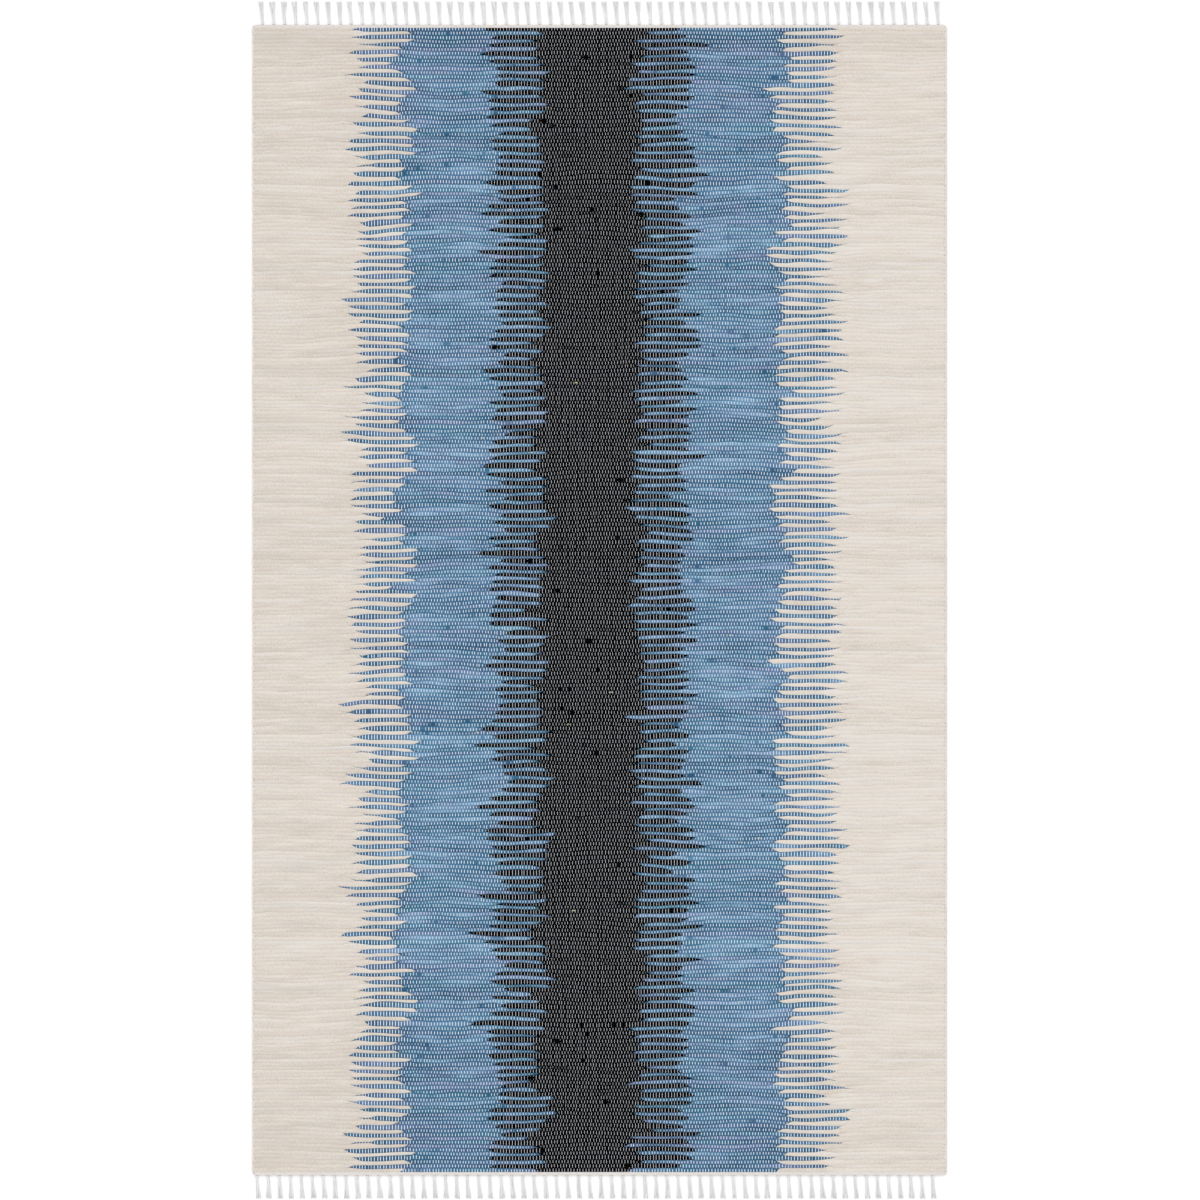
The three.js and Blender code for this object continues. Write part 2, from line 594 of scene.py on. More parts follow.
@dataclass
class PickPlan:
    """Where every pick of the cloth lies, how high it is, and where its rag changes colour."""

    half_width: float
    half_length: float
    picks: int = 288
    samples: int = 601
    pick_spread: float = 0.08
    along_spread: float = 0.055
    along_waves: Span = (0.11, 0.5)
    tail_scatter: float = 13 * MM
    finger_scatter: float = 11 * MM
    swell_scatter: float = 0.1
    far_share: float = 0.08
    far_reach: float = 22 * MM
    drift: float = 6 * MM
    drift_waves: Span = (12, 40)
    sway: Waves = Waves(7, (0.3, 0.8), (0.35, 0.9), 1.6 * MM)
    ripple: Waves = Waves(16, (0.1, 0.3), (0.08, 0.25), 0.6 * MM)
    wiggle: Waves = Waves(20, (0.05, 0.14), (0.02, 0.06), 0.4 * MM)
    level_reach: int = 5
    end_power: int = 20
    finger_keep: Span = (0.4, 0.7)
    finger_reach_mm: Span = (6, 20)
    heel_reach_mm: Span = (9, 18)
    bluntness: Span = (0.5, 1.1)
    slubs: int = 420
    slub_log_mm: Span = (1.1, 0.45)
    seed: int = 4

    def __post_init__(self) -> None:
        """Works out the plan once."""
        self.rng = np.random.default_rng(self.seed)
        self.x = np.linspace(-self.half_width, self.half_width, self.samples)
        self.order = np.arange(self.picks)
        self.is_tail = self.order % 2 == 1
        self.places = self._places()
        self.lines = self._lines()
        self.slub = self._slubs()

    def _places(self) -> np.ndarray:
        """Where each pick's rag changes, one column for each change of the band."""
        columns = []
        for change in CHANGES:
            slow = wander(self.rng, 2, self.order.astype(float), *self.drift_waves)
            middle = np.where(self.is_tail, change.tail_at, change.finger_at)
            spread = np.where(self.is_tail, self.tail_scatter, self.finger_scatter)
            chance = self.rng.normal(0, 1, self.picks) * spread
            far = self.rng.random(self.picks) < self.far_share
            reach = np.where(far & self.is_tail, -change.inward * self.far_reach, 0)
            drift = np.where(self.is_tail, slow[0], slow[1]) * self.drift
            columns.append(middle + drift + chance + reach)
        return np.stack(columns, axis=1)

    def _shares(self) -> np.ndarray:
        """How high each pick is against the others at each place across the rug."""
        size = (self.picks, 1)
        mean = self.rng.normal(0, self.pick_spread, size)
        along = wander(self.rng, self.picks, self.x, *self.along_waves) * self.along_spread
        shares = np.exp(mean + along)
        for change in CHANGES:
            zone = change.zone(self.x)
            swell = np.where(self.is_tail, change.form.swell, -change.form.swell)
            swell = swell + self.rng.normal(0, self.swell_scatter, self.picks)
            shares *= 1 + swell[:, None] * zone[None, :]
        return shares

    def _lines(self) -> np.ndarray:
        """The y of every line between two picks, a row for each line and a column for each x."""
        shares = self._shares()
        for index, change in enumerate(CHANGES):
            for pick in self.order:
                self._narrow(shares, pick, self.places[pick, index], change)
        sums = np.concatenate([np.zeros((1, len(self.x))), np.cumsum(shares, axis=0)])
        lines = self._level(-self.half_length + 2 * self.half_length * sums / sums[-1])
        shift = sum(self._shift(lines, waves) for waves in (self.sway, self.ripple, self.wiggle))
        return lines + shift * self._freedom(lines)

    def _freedom(self, lines: np.ndarray) -> np.ndarray:
        """1 over nearly all of the cloth, and 0 at its two ends, which stay straight."""
        return 1 - (lines / self.half_length) ** self.end_power

    def _shift(self, lines: np.ndarray, waves: Waves) -> np.ndarray:
        """How far a set of waves shifts each place of each line.

        Args:
            lines: The y of each line between two picks.
            waves: The set of waves.

        Returns:
            The shift along Y.
        """
        total = np.zeros_like(lines)
        for _ in range(waves.count):
            wide, long = self.rng.uniform(*waves.across), self.rng.uniform(*waves.along)
            phase = self.rng.uniform(0, 2 * math.pi, 2)
            beat = np.sin(2 * math.pi * lines / long + phase[1])
            total += np.sin(2 * math.pi * self.x[None, :] / wide + phase[0]) * beat
        return total * 2 / math.sqrt(waves.count) * waves.shift

    def _level(self, lines: np.ndarray) -> np.ndarray:
        """Takes out the slow slopes that add up over many picks, and keeps each pick's own shape.

        Args:
            lines: The lines between the picks.

        Returns:
            The lines, levelled, with the first and last one as they were.
        """
        middle = lines.mean(axis=1, keepdims=True)
        wander_off = lines - middle
        reach = self.level_reach
        padded = np.pad(wander_off, ((reach, reach), (0, 0)), mode="edge")
        sums = np.cumsum(np.pad(padded, ((1, 0), (0, 0))), axis=0)
        width = 2 * reach + 1
        slow = (sums[width:] - sums[:-width]) / width
        return middle + wander_off - slow * self._freedom(middle)

    def _narrow(self, shares: np.ndarray, pick: int, place: float, change: BandChange) -> None:
        """Thins a pick where its rag changes, and lets the picks on both sides swell there.

        Args:
            shares: The heights, which are changed in place.
            pick: The pick.
            place: Where its rag changes.
            change: The change of colour.
        """
        is_tail = self.is_tail[pick]
        form = change.form
        toward = change.inward if is_tail else -change.inward
        keep = self.rng.uniform(*(form.keep if is_tail else self.finger_keep))
        long = self.rng.uniform(*form.reach) if is_tail else self.rng.uniform(*self.finger_reach_mm) * MM
        short = self.rng.uniform(*self.heel_reach_mm) * MM
        bluntness = self.rng.uniform(*self.bluntness)
        thread = max(self.rng.normal(0, form.thread), 0) if is_tail else 0.0
        away = (self.x - place) * toward
        away = np.where(away > thread, away - thread, np.minimum(away, 0))
        share = np.where(away > 0, away / long, -away / short)
        kept = keep + (1 - keep) * np.clip(share, 0, 1) ** bluntness
        lost = shares[pick] * (1 - kept)
        shares[pick] -= lost
        for other in (pick - 1, pick + 1):
            shares[min(max(other, 0), self.picks - 1)] += lost / 2

    def tail_zone(self, x: np.ndarray) -> np.ndarray:
        """1 where the tails of any change lie, 0 away from them, and softly between."""
        return np.clip(sum(change.zone(x) for change in CHANGES), 0, 1)

    def _slubs(self) -> np.ndarray:
        """Knots and thick places of the rag, from 0 to 1, over picks and places."""
        found = np.zeros((self.picks, len(self.x)))
        for _ in range(self.slubs):
            pick = self.rng.integers(self.picks)
            place = self.rng.uniform(-self.half_width, self.half_width)
            reach = self.rng.lognormal(*self.slub_log_mm) * MM
            found[pick] += np.exp(-(((self.x - place) / reach) ** 2))
        return np.clip(found, 0, 1)

    def band(self, pick: int, x: np.ndarray) -> tuple[np.ndarray, np.ndarray]:
        """The lower and upper line of a pick at some places across the rug."""
        low = np.interp(x, self.x, self.lines[pick])
        high = np.interp(x, self.x, self.lines[pick + 1])
        return low, high

    def rags(self, pick: int) -> list[tuple[Rag, int, int]]:
        """The rags along a pick from west to east, each with the changes at its two ends (-1 for none)."""
        last = len(CHANGES)
        return [(rag, i - 1, i if i < last else -1) for i, rag in enumerate(BAND_RAGS)]


@dataclass
class Relief:
    """Heights of the yarns in the cloth, from its underside."""

    thickness: float
    groove_share: float = 0.57
    plain_groove_share: float = 0.68
    top_share: float = 0.86
    crest_share: float = 0.21
    ridge_share: float = 0.16
    steepest: float = 0.3
    slub_rise: float = 0.5 * MM
    plain_from: float = 520 * MM
    plain_to: float = 580 * MM

    def groove(self, x: np.ndarray) -> np.ndarray:
        """The height of the grooves between two picks, shallower over the plain bands."""
        plain = soft_step(np.abs(x), self.plain_from, self.plain_to)
        share = self.groove_share + (self.plain_groove_share - self.groove_share) * plain
        return self.thickness * share

    def crest(self, x: np.ndarray, pick_height: np.ndarray) -> np.ndarray:
        """How far a weft's crest stands over the grooves, less for a thin one."""
        room = self.top_share * self.thickness - self.groove(x)
        full = np.minimum(self.thickness * self.crest_share, room)
        return np.minimum(full, self.steepest * pick_height)


@dataclass
class Wefts:
    """The rag wefts, one piece for each colour of rag."""

    plan: PickPlan
    relief: Relief
    seed: int = 21
    plain_step: float = 30 * MM
    mottled_step: float = 15 * MM
    mottled_to: float = 560 * MM
    shoulder: float = 0.24
    least_height: float = 0.25 * MM
    inset: float = 3.4 * MM
    lead: float = 1.2 * MM
    lap_mm: Span = (2, 9)
    tone_waves: Span = (0.05, 0.5)
    tone_along: float = 0.15
    tone_of_pick: float = 0.12
    tone_of_rows: float = 0.06
    rows: Span = (6, 30)
    slubs_deeper: float = 0.3
    east_paler: float = 0.3
    paler_from: float = 350 * MM
    paler_to: float = 550 * MM
    ends_deeper: float = 0.2
    ends_from: float = 0.3
    tails_deeper: float = 0.3
    cast_waves: Span = (0.1, 0.5)
    cast_along: float = 0.25
    cast_of_pick: float = 0.25
    lump_waves: Span = (0.03, 0.12)
    lump_depth: float = 0.06
    # How much darker blue and black rag is painted near its tips: painted shade at the thin tips.
    tip_painted_shade: float = 0.45
    tip_reach: float = 14 * MM

    def build(self) -> dict[Rag, bpy.types.Object]:
        """Builds and dresses the pieces.

        Returns:
            The piece of each colour.
        """
        rng = np.random.default_rng(self.seed)
        outer = np.arange(self.mottled_to, self.plan.half_width, self.plain_step)
        inner = np.arange(0, self.mottled_to, self.mottled_step)
        self.grid = np.unique(np.concatenate([-outer, -inner, inner, outer]))
        stores = {rag: YarnStore() for rag in Rag}
        laps = rng.uniform(*self.lap_mm, (self.plan.picks, len(CHANGES))) * MM
        uppers = rng.integers(0, 2, (self.plan.picks, len(CHANGES)))
        tones = self._tones(rng)
        casts = wander(rng, self.plan.picks, self.plan.x, *self.cast_waves) * self.cast_along
        casts += rng.normal(0, self.cast_of_pick, (self.plan.picks, 1))
        lumps = wander(rng, self.plan.picks, self.plan.x, *self.lump_waves) * self.lump_depth
        for pick in self.plan.order:
            for rag, west, east in self.plan.rags(pick):
                fields = tones[pick], casts[pick], lumps[pick]
                self._yarn(stores[rag], rag, pick, (west, east), laps[pick], uppers[pick], fields)
        pieces = {}
        for rag, store in stores.items():
            piece = store.piece(f"weft_{rag.value}")
            RAG_FINISHES[rag].dress(piece)
            pieces[rag] = piece
        return pieces

    def _tones(self, rng: np.random.Generator) -> np.ndarray:
        """The tone of every pick, from 0 for deep to 1 for pale, at each place across the rug."""
        plan = self.plan
        tones = wander(rng, plan.picks, plan.x, *self.tone_waves) * self.tone_along
        tones += 0.5 + rng.normal(0, self.tone_of_pick, (plan.picks, 1)) - self.slubs_deeper * plan.slub
        tones += wander(rng, 1, plan.order.astype(float), *self.rows).T * self.tone_of_rows
        from_middle = np.abs(plan.order[:, None] / plan.picks - 0.5)
        tones -= self.ends_deeper * soft_step(from_middle, self.ends_from, 0.5)
        tones += self.east_paler * soft_step(plan.x, self.paler_from, self.paler_to)
        tones -= self.tails_deeper * plan.tail_zone(plan.x) * plan.is_tail[:, None]
        return tones

    def _yarn(
        self,
        store: YarnStore,
        rag: Rag,
        pick: int,
        ends: tuple[int, int],
        laps: np.ndarray,
        uppers: np.ndarray,
        fields: tuple[np.ndarray, np.ndarray, np.ndarray],
    ) -> None:
        """Adds one stretch of rag to its colour's store.

        Args:
            store: The store of its colour.
            rag: Its colour.
            pick: Its pick.
            ends: The changes at its west and east end, or -1 at a selvedge.
            laps: Half the overlap at each change of this pick.
            uppers: For each change, 1 if the western rag lies uppermost there.
            fields: Tone, cast and lumps along this pick.
        """
        plan = self.plan
        west, east = ends
        start = plan.places[pick, west] - laps[west] if west >= 0 else -plan.half_width + self.inset
        end = plan.places[pick, east] + laps[east] if east >= 0 else plan.half_width - self.inset
        lead = self.lead
        inner_start = start + (2 * laps[west] if west >= 0 else 4 * lead)
        inner_end = end - (2 * laps[east] if east >= 0 else 4 * lead)
        between = self.grid[(self.grid > inner_start + lead) & (self.grid < inner_end - lead)]
        x = np.unique(np.concatenate([[start + lead, inner_start], between, [inner_end, end - lead]]))
        low, high = plan.band(pick, x)
        height = high - low
        if west >= 0:
            rise = np.clip((start + 2 * laps[west] - x) / (2 * laps[west]), 0, 1)
            if uppers[west]:
                high = high - height * rise
            else:
                low = low + height * rise
        if east >= 0:
            rise = np.clip((x - end + 2 * laps[east]) / (2 * laps[east]), 0, 1)
            if uppers[east]:
                low = low + height * rise
            else:
                high = high - height * rise
        tone, cast, lump = (np.interp(x, plan.x, values) for values in fields)
        # Blue and black rag is painted darker near each tip where it meets another colour: painted shade at
        # the thin tips.
        if rag is not Rag.IVORY:
            for place in ([start] if west >= 0 else []) + ([end] if east >= 0 else []):
                tone = tone - self.tip_painted_shade * np.exp(-np.abs(x - place) / self.tip_reach)
        self._strip(store, pick, x, (start, end), low, high, (tone, cast, lump))

    def _strip(
        self,
        store: YarnStore,
        pick: int,
        x: np.ndarray,
        ends: Span,
        low: np.ndarray,
        high: np.ndarray,
        values: tuple[np.ndarray, np.ndarray, np.ndarray],
    ) -> None:
        """Adds a five-sided strip between two lines.

        Args:
            store: Where it goes.
            pick: Its pick, which gives its row of the map.
            x: The places of its sections.
            ends: The places of its two tips.
            low: Its southern edge at each section.
            high: Its northern edge at each section.
            values: Tone, cast and lump at each section.
        """
        plan, relief = self.plan, self.relief
        tone, cast, lump = values
        slub = np.interp(x, plan.x, plan.slub[pick])
        height = np.maximum(high - low, self.least_height)
        middle = (low + high) / 2
        crest = relief.crest(x, height) * (1 + lump) + slub * relief.slub_rise
        shoulder = self.shoulder * height
        level = relief.groove(x)
        top = level + crest
        bottom = np.full_like(x, relief.thickness * relief.ridge_share)
        corners = (
            (middle - height / 2, level),
            (middle, bottom),
            (middle + height / 2, level),
            (middle + shoulder, top),
            (middle - shoulder, top),
        )
        rings = np.stack([points_of(x, y, z) for y, z in corners], axis=1)
        tips = np.array([[ends[0], middle[0], level[0]], [ends[1], middle[-1], level[-1]]])
        across = np.concatenate([[ends[0]], x, [ends[1]]]) / (2 * plan.half_width) + 0.5
        row = ((pick + 0.05) / plan.picks, (pick + 0.95) / plan.picks)
        padded = {
            "tone": np.concatenate([tone[:1], tone, tone[-1:]]),
            "cast": np.concatenate([cast[:1], cast, cast[-1:]]),
        }
        store.add(rings, tips, row, across, **padded)


@dataclass
class Warps:
    """The warp yarns, which show where they cross over a weft and dive under the next one."""

    plan: PickPlan
    relief: Relief
    seed: int = 33
    count: int = 463
    blue_width: float = 1.65 * MM
    black_width: float = 0.63 * MM
    plain_width: float = 3.0 * MM
    blue_reach: float = 0.5
    black_reach: float = 0.51
    plain_reach: float = 0.3
    flat_share: float = 0.45
    black_flat_share: float = 0.53
    rise_share: float = 0.15
    clearance: float = 0.16 * MM
    thin_pick: float = 3 * MM
    full_pick: float = 8 * MM
    least_width: float = 0.25
    from_edge: float = 3 * MM
    jitter: float = 0.08 * MM
    nudge: float = 0.05 * MM
    sway: float = 0.35 * MM
    sway_waves: Span = (0.06, 0.4)
    dip: float = 0.2 * MM
    plain_rise: float = 0.25 * MM
    plain_depth: float = 0.5 * MM
    black_paler: float = 0.3
    tone: float = 0.6
    tone_scatter: float = 0.16
    shown_share: float = 0.55
    tail_wider: float = 0.12
    tail_longer: float = 0.1
    tip_from: float = 440 * MM
    tip_pick: float = 0.8 * MM
    tip_share: float = 0.9

    def __post_init__(self) -> None:
        """Places the yarns and finds the rag under each crossing."""
        rng = np.random.default_rng(self.seed)
        plan = self.plan
        edge = plan.half_width - self.from_edge
        even = np.linspace(-edge, edge, self.count)
        home = even + rng.normal(0, self.jitter, self.count)
        lines = np.stack([np.interp(home, plan.x, line) for line in plan.lines])
        self.y = (lines[1:] + lines[:-1]) / 2
        self.tall = lines[1:] - lines[:-1]
        sway = wander(rng, self.count, np.linspace(0, 2 * plan.half_length, plan.picks), *self.sway_waves)
        nudge = rng.normal(0, self.nudge, (plan.picks, self.count))
        self.x = home[None, :] + sway.T * self.sway + nudge
        self.slub = np.stack([np.interp(home, plan.x, row) for row in plan.slub])
        self.tones = rng.normal(self.tone, self.tone_scatter, self.count)
        self.shown = rng.random((plan.picks, self.count)) < self.shown_share
        pick, yarn = np.meshgrid(plan.order, np.arange(self.count), indexing="ij")
        self.over = (pick + yarn) % 2 == 0
        band = (self.x[:, :, None] > plan.places[:, None, :]).sum(axis=2)
        self.is_ivory = np.array([rag is Rag.IVORY for rag in BAND_RAGS])[band]
        self.is_black = np.array([rag is Rag.BLACK for rag in BAND_RAGS])[band]
        self.crest = self.relief.groove(self.x) + self.relief.crest(self.x, self.tall)
        self.crest += self.slub * self.relief.slub_rise
        self.loose = plan.tail_zone(self.x) * plan.is_tail[:, None]

    def build(self) -> list[bpy.types.Object]:
        """Builds and dresses the pieces.

        Returns:
            The crossings over blue and black rag in three pieces, and those over ivory rag.
        """
        width = np.where(self.is_black, self.black_width, self.blue_width)
        width = width * (1 + self.tail_wider * self.loose)
        room = np.clip((self.tall - self.thin_pick) / (self.full_pick - self.thin_pick), 0, 1)
        is_tip = (np.abs(self.x) > self.tip_from) & (self.tall > self.tip_pick)
        share = np.where(is_tip, np.maximum(room, self.tip_share), room) * (1 - self.slub)
        pick, yarn = np.nonzero(self.over & ~self.is_ivory & (share > self.least_width))
        pieces = []
        for name, part in zip(("west", "middle", "east"), np.array_split(np.argsort(yarn, kind="stable"), 3)):
            pieces.append(self._floats(f"warp_{name}", pick[part], yarn[part], width * share))
        for piece in pieces:
            WARP_FINISH.dress(piece)
        plain = self._crossings("warp_over_ivory", *np.nonzero(self.over & self.is_ivory & self.shown))
        PLAIN_WARP_FINISH.dress(plain)
        pieces.append(plain)
        return pieces

    def _floats(
        self, name: str, pick: np.ndarray, yarn: np.ndarray, widths: np.ndarray
    ) -> bpy.types.Object:
        """Crossings as short yarns, three-sided, that dip into the grooves at both ends.

        Args:
            name: The piece's name.
            pick: The pick of each crossing.
            yarn: The yarn of each crossing.
            widths: The width of every yarn over every pick.

        Returns:
            The piece.
        """
        x, y = self.x[pick, yarn], self.y[pick, yarn]
        black = self.is_black[pick, yarn]
        reach = np.where(black, self.black_reach, self.blue_reach) * self.tall[pick, yarn]
        reach = reach * (1 + self.tail_longer * self.loose[pick, yarn])
        width = widths[pick, yarn]
        flat = np.where(black, self.black_flat_share, self.flat_share) * reach
        base = self.crest[pick, yarn] + self.clearance
        top = np.minimum(base + self.rise_share * width, self.relief.thickness)
        low = self.relief.groove(x) - self.dip
        points = [points_of(x, y - reach, low)]
        for shift in (-flat, flat):
            for aside, z in ((-width / 2, base), (0, top), (width / 2, base)):
                points.append(points_of(x + aside, y + shift, z))
        points.append(points_of(x, y + reach, low))
        around = np.arange(3)
        following = (around + 1) % 3
        quads = np.stack([1 + around, 1 + following, 4 + following, 4 + around], axis=-1)
        south = np.stack([np.zeros(3, int), 1 + following, 1 + around], axis=-1)
        north = np.stack([np.full(3, len(points) - 1), 4 + around, 4 + following], axis=-1)
        caps = np.concatenate([south, north])
        # Each crossing has a cell of the map, with its south point at the bottom.
        left, middle, right = ((around + share) / 3 for share in (0, MAP_SHARE / 2, MAP_SHARE))
        bottom, lower, upper, top_row = (np.full(3, height) for height in (0.05, 0.3, 0.7, 0.95))
        quad_map = np.stack([left, lower, right, lower, right, upper, left, upper], axis=-1).reshape(-1, 2)
        south_map = np.stack([middle, bottom, right, lower, left, lower], axis=-1).reshape(-1, 2)
        north_map = np.stack([middle, top_row, left, upper, right, upper], axis=-1).reshape(-1, 2)
        columns = yarn.max() - yarn.min() + 1
        cell = np.array([1 / columns, 1 / self.plan.picks])
        corner = np.stack([yarn - yarn.min(), pick], axis=-1)[:, None, :]
        quad_places = (corner + MAP_SHARE * quad_map[None]) * cell
        cap_places = (corner + MAP_SHARE * np.concatenate([south_map, north_map])[None]) * cell
        size = len(points)
        first = size * np.arange(len(x))[:, None, None]
        faces = (first + quads[None]).reshape(-1, 4).tolist() + (first + caps[None]).reshape(-1, 3).tolist()
        places = np.concatenate([quad_places.ravel(), cap_places.ravel()])
        tone = np.repeat(self.tones[yarn] + self.black_paler * black, size)
        return new_object(
            name, np.stack(points, axis=1), faces, places, tone=tone, shade=np.repeat(1.0 - black, size)
        )

    def _crossings(self, name: str, pick: np.ndarray, yarn: np.ndarray) -> bpy.types.Object:
        """Crossings over ivory rag, as low four-faced ridges.

        Args:
            name: The piece's name.
            pick: The pick of each crossing.
            yarn: The yarn of each crossing.

        Returns:
            The piece.
        """
        x, y, crest = self.x[pick, yarn], self.y[pick, yarn], self.crest[pick, yarn]
        reach = self.plain_reach * self.tall[pick, yarn]
        half = self.plain_width / 2
        top, base = crest + self.plain_rise, crest - self.plain_depth
        corners = ((x - half, y, base), (x + half, y, base), (x, y - reach, top), (x, y + reach, top))
        points = np.stack([points_of(*corner) for corner in corners], axis=1)
        first = 4 * np.arange(len(x))[:, None, None]
        faces = first + np.array([[0, 2, 3], [1, 3, 2], [0, 1, 2], [1, 0, 3]])[None]
        corner = points.reshape(-1, 3)[faces.reshape(-1)]
        size = np.array([self.plan.half_width, self.plan.half_length])
        places = (corner[:, :2] / size + 1) / 2
        tone = np.repeat(self.tones[yarn], 4)
        return new_object(
            name, points, faces.reshape(-1, 3).tolist(), places, tone=tone, shade=np.zeros(len(tone))
        )


@dataclass
class StrayThreads:
    """The few pale threads of other rag that stuck to the wefts of the blue and black bands."""

    plan: PickPlan
    relief: Relief
    seed: int = 44
    count: int = 26
    from_end: int = 10
    reach: float = 430 * MM
    length_mm: Span = (3, 9)
    bend: Span = (0.1, 0.35)
    lift: float = 0.3 * MM
    girth: float = 0.7 * MM
    girth_scatter: Span = (0.7, 1.2)
    taper: tuple[float, ...] = (0.6, 0.9, 1, 0.9, 0.6)
    flatness: float = 0.6
    tip: float = 0.4 * MM
    sides: int = 5

    def build(self) -> bpy.types.Object:
        """Builds and dresses the piece.

        Returns:
            The threads.
        """
        rng = np.random.default_rng(self.seed)
        store = YarnStore()
        for number in range(self.count):
            self._thread(store, rng, number)
        piece = store.piece("stray_threads")
        STRAY_FINISH.dress(piece)
        return piece

    def _thread(self, store: YarnStore, rng: np.random.Generator, number: int) -> None:
        """Adds one short bent thread on the crest of a pick."""
        pick = int(rng.integers(self.from_end, self.plan.picks - self.from_end))
        length = rng.uniform(*self.length_mm) * MM
        share = np.linspace(0, 1, len(self.taper))
        x = rng.uniform(-self.reach, self.reach) + length * share
        low, high = self.plan.band(pick, x)
        height = high - low
        y = (low + high) / 2 + rng.uniform(*self.bend) * height * np.sin(math.pi * share)
        top = self.relief.groove(x) + self.relief.crest(x, height) + self.lift
        girth = (self.girth * np.array(self.taper) * rng.uniform(*self.girth_scatter))[:, None]
        turns = round_angles(self.sides)
        across = y[:, None] - girth * np.cos(turns)
        rings = points_of(x[:, None], across, top[:, None] - self.flatness * girth * np.sin(turns))
        tips = np.array([[x[0] - self.tip, y[0], top[0]], [x[-1] + self.tip, y[-1], top[-1]]])
        row = (number / self.count, (number + MAP_SHARE) / self.count)
        store.add(rings, tips, row, tone=rng.uniform(0, 1), shade=0.0)


@dataclass
class ClothGround:
    """The tightly beaten ground that lies between the yarns, with the bands of the rags."""

    plan: PickPlan
    relief: Relief
    columns: int = 5
    inset: float = 6 * MM
    under_groove: float = 0.5 * MM
    ridge: float = 0.5 * MM
    underside: float = 1.4 * MM
    seam_share: float = 0.01
    lint_grain: Grain = (1.2 * MM, 1.2 * MM, 1.2 * MM)
    lint_depth: float = 0.3 * MM
    roughness: float = 0.95

    @property
    def half_width(self) -> float:
        """Half the width of the sheet, which stops short of the loops of the selvedges."""
        return self.plan.half_width - self.inset

    def build(self) -> bpy.types.Object:
        """Builds and dresses the piece.

        Returns:
            The ground, a thin closed sheet.
        """
        plan = self.plan
        x = np.linspace(-self.half_width, self.half_width, self.columns)
        lines = np.stack([np.interp(x, plan.x, line) for line in plan.lines])
        y = np.empty((2 * plan.picks + 1, len(x)))
        y[0::2] = lines
        y[1::2] = (lines[1:] + lines[:-1]) / 2
        raised = (np.arange(len(y)) % 2)[:, None] * self.ridge
        top = self.relief.groove(x)[None, :] - self.under_groove + raised
        bottom = np.full_like(top, self.underside) - raised
        points = np.stack([points_of(x, y, top), points_of(x, y, bottom)])
        ground = new_object("cloth_ground", points, self._faces(y.shape))
        self._dress(ground)
        return ground

    def _faces(self, shape: tuple[int, int]) -> list[list[int]]:
        """The faces of both sides and of the rim, outward."""
        rows, columns = shape
        index = np.arange(rows * columns).reshape(shape)
        under = index + rows * columns
        corners = [index[:-1, :-1], index[:-1, 1:], index[1:, 1:], index[1:, :-1]]
        faces = np.stack(corners, axis=-1).reshape(-1, 4).tolist()
        corners = [under[:-1, :-1], under[1:, :-1], under[1:, 1:], under[:-1, 1:]]
        faces += np.stack(corners, axis=-1).reshape(-1, 4).tolist()
        rim = np.concatenate([index[0, :-1], index[:-1, -1], index[-1, :0:-1], index[:0:-1, 0]])
        following = np.roll(rim, -1)
        size = rows * columns
        faces += np.stack([rim, rim + size, following + size, following], axis=-1).tolist()
        return faces

    def _dress(self, ground: bpy.types.Object) -> None:
        """Gives the ground the bands of the cloth."""
        shader = Shader("rag_cloth")
        split = shader.nodes.new("ShaderNodeSeparateXYZ")
        shader.links.new(shader.where, split.inputs["Vector"])
        half = self.plan.half_width
        share = shader.span(split.outputs["X"], -half, half, 0.0, 1.0)
        stops = [(0.0, IVORY_FINISH.tones[0])]
        for change in CHANGES:
            middle = ((change.tail_at + change.finger_at) / 2 / half + 1) / 2
            stops.append((middle - self.seam_share, RAG_FINISHES[change.west].tones[0]))
            stops.append((middle + self.seam_share, RAG_FINISHES[change.east].tones[0]))
        colour = shader.ramp(share, stops)
        lint = shader.noise(self.lint_grain)
        made = shader.finish(colour, lint, self.lint_depth, self.roughness, sheen=0.0)
        ground.data.materials.append(made)


